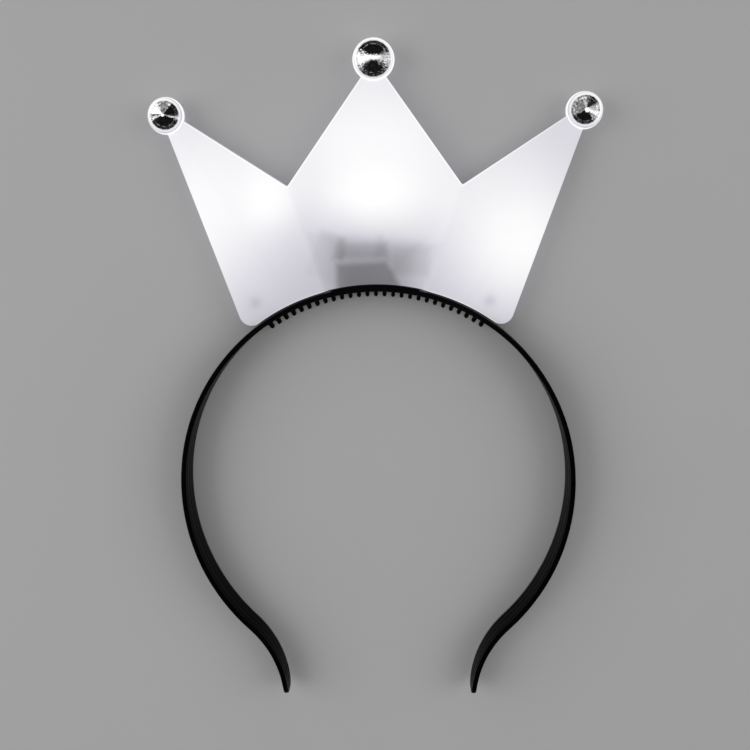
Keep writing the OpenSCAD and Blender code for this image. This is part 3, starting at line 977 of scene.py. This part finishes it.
def build_crown(material):
    bm = bmesh.new()
    weights = bm.edges.layers.float.new("bevel_weight_edge")
    outer_low = shell_layer(bm, 0.0)
    crown_edges = list(bm.edges)
    inner_low = shell_layer(bm, WALL)
    bmesh.ops.triangle_fill(bm, use_beauty=True, edges=outer_low + inner_low)
    bmesh.ops.recalc_face_normals(bm, faces=bm.faces)
    for edge in crown_edges:
        faces = edge.link_faces
        if len(faces) != 2:
            continue
        fold = faces[0].normal.angle(faces[1].normal)
        ups = [f.normal.z > 0.5 for f in faces]
        if all(ups):
            edge[weights] = CREASE_FILLET if fold > math.radians(0.5) else 0
        elif any(ups):
            edge[weights] = EDGE_FILLET
        elif any(f.normal.z < -0.5 for f in faces):
            edge[weights] = SEAM_FILLET
        elif fold > math.radians(30):
            edge[weights] = NOTCH_FILLET
    shell = make_object("crown_shell", bm, [material])
    bevel = shell.modifiers.new("rounding", "BEVEL")
    bevel.limit_method = "WEIGHT"
    bevel.width = MM
    bevel.segments = 3
    apply_modifiers(shell)

    balls, bores = [], []
    left = Vector((-side_pt().x, side_pt().y))
    for at, ball_r, node in (
        (center_pt(), CENTER_BALL_R, "stone_center"),
        (side_pt(), SIDE_BALL_R, "stone_right"),
        (left, SIDE_BALL_R, "stone_left"),
    ):
        stone_r = stone_radius(node)
        profile, rim_z = ball_profile(ball_r, stone_r)
        balls.append(turned("ball", profile, at))
        bores.append(turned("bore", bore_profile(stone_r, rim_z), at))
    combine(shell, balls, "UNION")
    combine(shell, bores, "DIFFERENCE")
    shell.data.shade_smooth()
    shell.data.set_sharp_from_angle(angle=math.radians(28))
    return shell


# Stones

# How each stone shines, as painted reflections. First its sectors, in degrees anticlockwise from the right:
# up to which angle, and how bright. Then its painted bright spot: its place and its half width and half
# height, as shares of the stone's radius.
STONE_LIGHT = {
    "stone_center": (
        [(20, 0.78), (28, 0.35), (147, 0.0), (156, 0.6), (200, 1.0), (214, 0.65), (322, 0.0)]
        + [(340, 0.4), (360, 0.75)],
        (0.0, 0.02, 0.36, 0.13),
    ),
    "stone_left": (
        [(5, 0.1), (57, 0.0), (118, 0.47), (124, 0.8), (174, 1.0), (186, 0.15), (199, 0.9)]
        + [(340, 0.0), (354, 0.75), (360, 0.1)],
        (-0.05, -0.03, 0.13, 0.11),
    ),
    "stone_right": (
        [(28, 0.62), (74, 0.05), (88, 0.3), (126, 0.55), (212, 0.42), (306, 0.0), (325, 0.45)]
        + [(348, 0.95), (360, 0.65)],
        (0.05, -0.06, 0.19, 0.18),
    ),
}
# How strongly painted glints, as specks and streaks, and each facet's painted reflection change a tone, the
# noise's sizes as shares of the radius, and how ragged the sectors' ends are, more so in a stone with a
# wide bright spot
SPECKS, STREAKS, FACETS, SPECK_SIZE, STREAK_SIZE = 2.0, 3.0, 0.3, 0.16, 0.13
RAGGED, RAGGED_BY_HUB, HUB_SPIKES = 0.05, 0.6, 30.0
# The painted speckled glints of the rim outside the crown facets, and the thin painted bright ring that it
# starts at
RIM_SHARE, RIM_SPECKS, RING_AT, RING_W, RING_LIGHT = 0.65, 2.2, 0.78, 1 / 30, 0.6
# The rings of the cut as shares of the radius, and the crown facets' height as a share of the dome's
TABLE_R, STAR_R, MAIN_R, GIRDLE_R, POINT_R, MAIN_H = 0.2, 0.5, 0.8, 0.985, 0.3, 0.3


def stone_radius(node):
    low, high = box_mm(node)
    return (high.x - low.x) / 2 / math.cos(math.pi / FACET_N)


def build_stone(node, material, dice):
    """A round stone with a small table, two rows of crown facets, a girdle and a cut back."""
    low, high = box_mm(node)
    at = (low + high) / 2
    r, girdle = stone_radius(node), BALL_TOP[node] - GIRDLE_H
    top = high.z
    girdle_top = girdle + GIRDLE_H
    main_z = girdle_top + MAIN_H * (top - girdle_top)
    bm = bmesh.new()
    shares = bm.faces.layers.float.new("facet")
    across = bm.verts.layers.float_vector.new("across")

    def ring(share, z, shift):
        row = []
        for i in range(FACET_N):
            a = 2 * math.pi * (i + shift) / FACET_N
            flat = Vector((math.cos(a), math.sin(a))) * share
            vert = bm.verts.new(Vector((at.x + r * flat.x, at.y + r * flat.y, z)) * MM)
            vert[across] = (flat.x, flat.y, 0)
            row.append(vert)
        return row

    def facet(*verts):
        bm.faces.new(verts)[shares] = dice.random()

    table, half = ring(TABLE_R, top, 0), ring(STAR_R, main_z + (top - main_z) / 2, 0)
    main, edge = ring(MAIN_R, main_z, 0), ring(GIRDLE_R, girdle_top, 0.5)
    foot, point = ring(GIRDLE_R, girdle, 0.5), ring(POINT_R, low.z, 0.5)
    facet(*table)
    for i in range(FACET_N):
        j = (i + 1) % FACET_N
        facet(table[i], table[j], half[j], half[i])
        facet(half[i], half[j], main[j], main[i])
        facet(main[i], main[j], edge[i])
        facet(main[j], edge[j], edge[i])
        facet(edge[i], edge[j], foot[j], foot[i])
        facet(foot[i], foot[j], point[j], point[i])
    facet(*point)
    return make_object("cut_" + node, bm, [material], sharp=1.0)


# Camera, lights and floor


def add_camera():
    pitch, yaw, roll = (math.radians(a) for a in (CAMERA_PITCH, CAMERA_YAW, CAMERA_ROLL))
    forward = Vector((-math.sin(yaw) * math.cos(pitch), -math.sin(pitch), -math.cos(yaw) * math.cos(pitch)))
    level = Vector((math.cos(yaw), 0, -math.sin(yaw)))
    over = level.cross(forward)
    right = math.cos(roll) * level + math.sin(roll) * over
    up = math.cos(roll) * over - math.sin(roll) * level
    data = bpy.data.cameras.new("camera")
    data.lens = CAMERA_LENS
    data.clip_start = 0.01
    camera = bpy.data.objects.new("camera", data)
    turned_to = Matrix((right, up, -forward)).transposed().to_4x4()
    camera.matrix_world = Matrix.Translation(placed(*CAMERA_AT)) @ turned_to
    bpy.context.scene.collection.objects.link(camera)
    bpy.context.scene.camera = camera


def add_softbox(name, at, aim, size, power):
    """A square light that shines on a place and isn't seen itself."""
    data = bpy.data.lights.new(name, "AREA")
    data.size = size
    data.energy = power
    light = bpy.data.objects.new(name, data)
    light.location = at
    light.rotation_euler = (Vector(aim) - Vector(at)).to_track_quat("-Z", "Y").to_euler()
    light.visible_camera = False
    bpy.context.scene.collection.objects.link(light)


def add_floor():
    bm = bmesh.new()
    bmesh.ops.create_grid(bm, x_segments=8, y_segments=8, size=3.0)
    floor = make_object("floor", bm, [floor_material()])
    floor.location.z = -0.0001


def set_world(brightness):
    world = bpy.data.worlds.new("studio")
    world.use_nodes = True
    background = world.node_tree.nodes["Background"]
    background.inputs["Color"].default_value = (1.0, 1.0, 1.0, 1.0)
    background.inputs["Strength"].default_value = brightness
    bpy.context.scene.world = world


def add_bloom():
    """The soft halo that a camera sees round a lit thing."""
    scene = bpy.context.scene
    scene.use_nodes = True
    tree = scene.node_tree
    glare = tree.nodes.new("CompositorNodeGlare")
    glare.glare_type = "BLOOM"
    glare.inputs["Threshold"].default_value = 0.75
    glare.inputs["Strength"].default_value = 0.12
    glare.inputs["Size"].default_value = 0.35
    tree.links.new(tree.nodes["Render Layers"].outputs["Image"], glare.inputs["Image"])
    tree.links.new(glare.outputs["Image"], tree.nodes["Composite"].inputs["Image"])


# The scene

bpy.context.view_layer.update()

BALL_TOP = {}
for node, ball_r in (
    ("stone_center", CENTER_BALL_R),
    ("stone_left", SIDE_BALL_R),
    ("stone_right", SIDE_BALL_R),
):
    BALL_TOP[node] = ball_profile(ball_r, stone_radius(node))[1]

band = build_band(black_plastic())
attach(band, "root")
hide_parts("headband")

white = frosted_white()
crown = build_crown(white)
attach(crown, "root")
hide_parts("crown_front")

dice = random.Random(16)
for node in STONE_LIGHT:
    stone = build_stone(node, cut_stone(node), dice)
    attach(stone, "root")
    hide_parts(node)

holder = moulded("holder_plastic", grey(0.28), grey(0.34), 0.5)
cover = moulded("cover_plastic", grey(0.74, 0.02), grey(0.8, 0.03), 0.4)
steel = cell_steel()
lamp = lamp_plastic()
for node, material in (
    ("crown_back", white),
    ("battery_holder", holder),
    ("battery_cell_upper", steel),
    ("battery_cell_lower", steel),
    ("battery_cover", cover),
    ("led_left", lamp),
    ("led_center", lamp),
    ("led_right", lamp),
):
    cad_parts[node].data.materials[0] = material

add_camera()
add_floor()
set_world(brightness=0.35)
add_softbox("softbox_left", at=(-0.75, 0.1, 0.6), aim=(0, 0.03, 0), size=0.8, power=2.4)
add_softbox("softbox_right", at=(0.8, 0.15, 0.65), aim=(0, 0.03, 0), size=0.7, power=1.6)
add_bloom()

scene = bpy.context.scene
scene.view_settings.view_transform = "Standard"
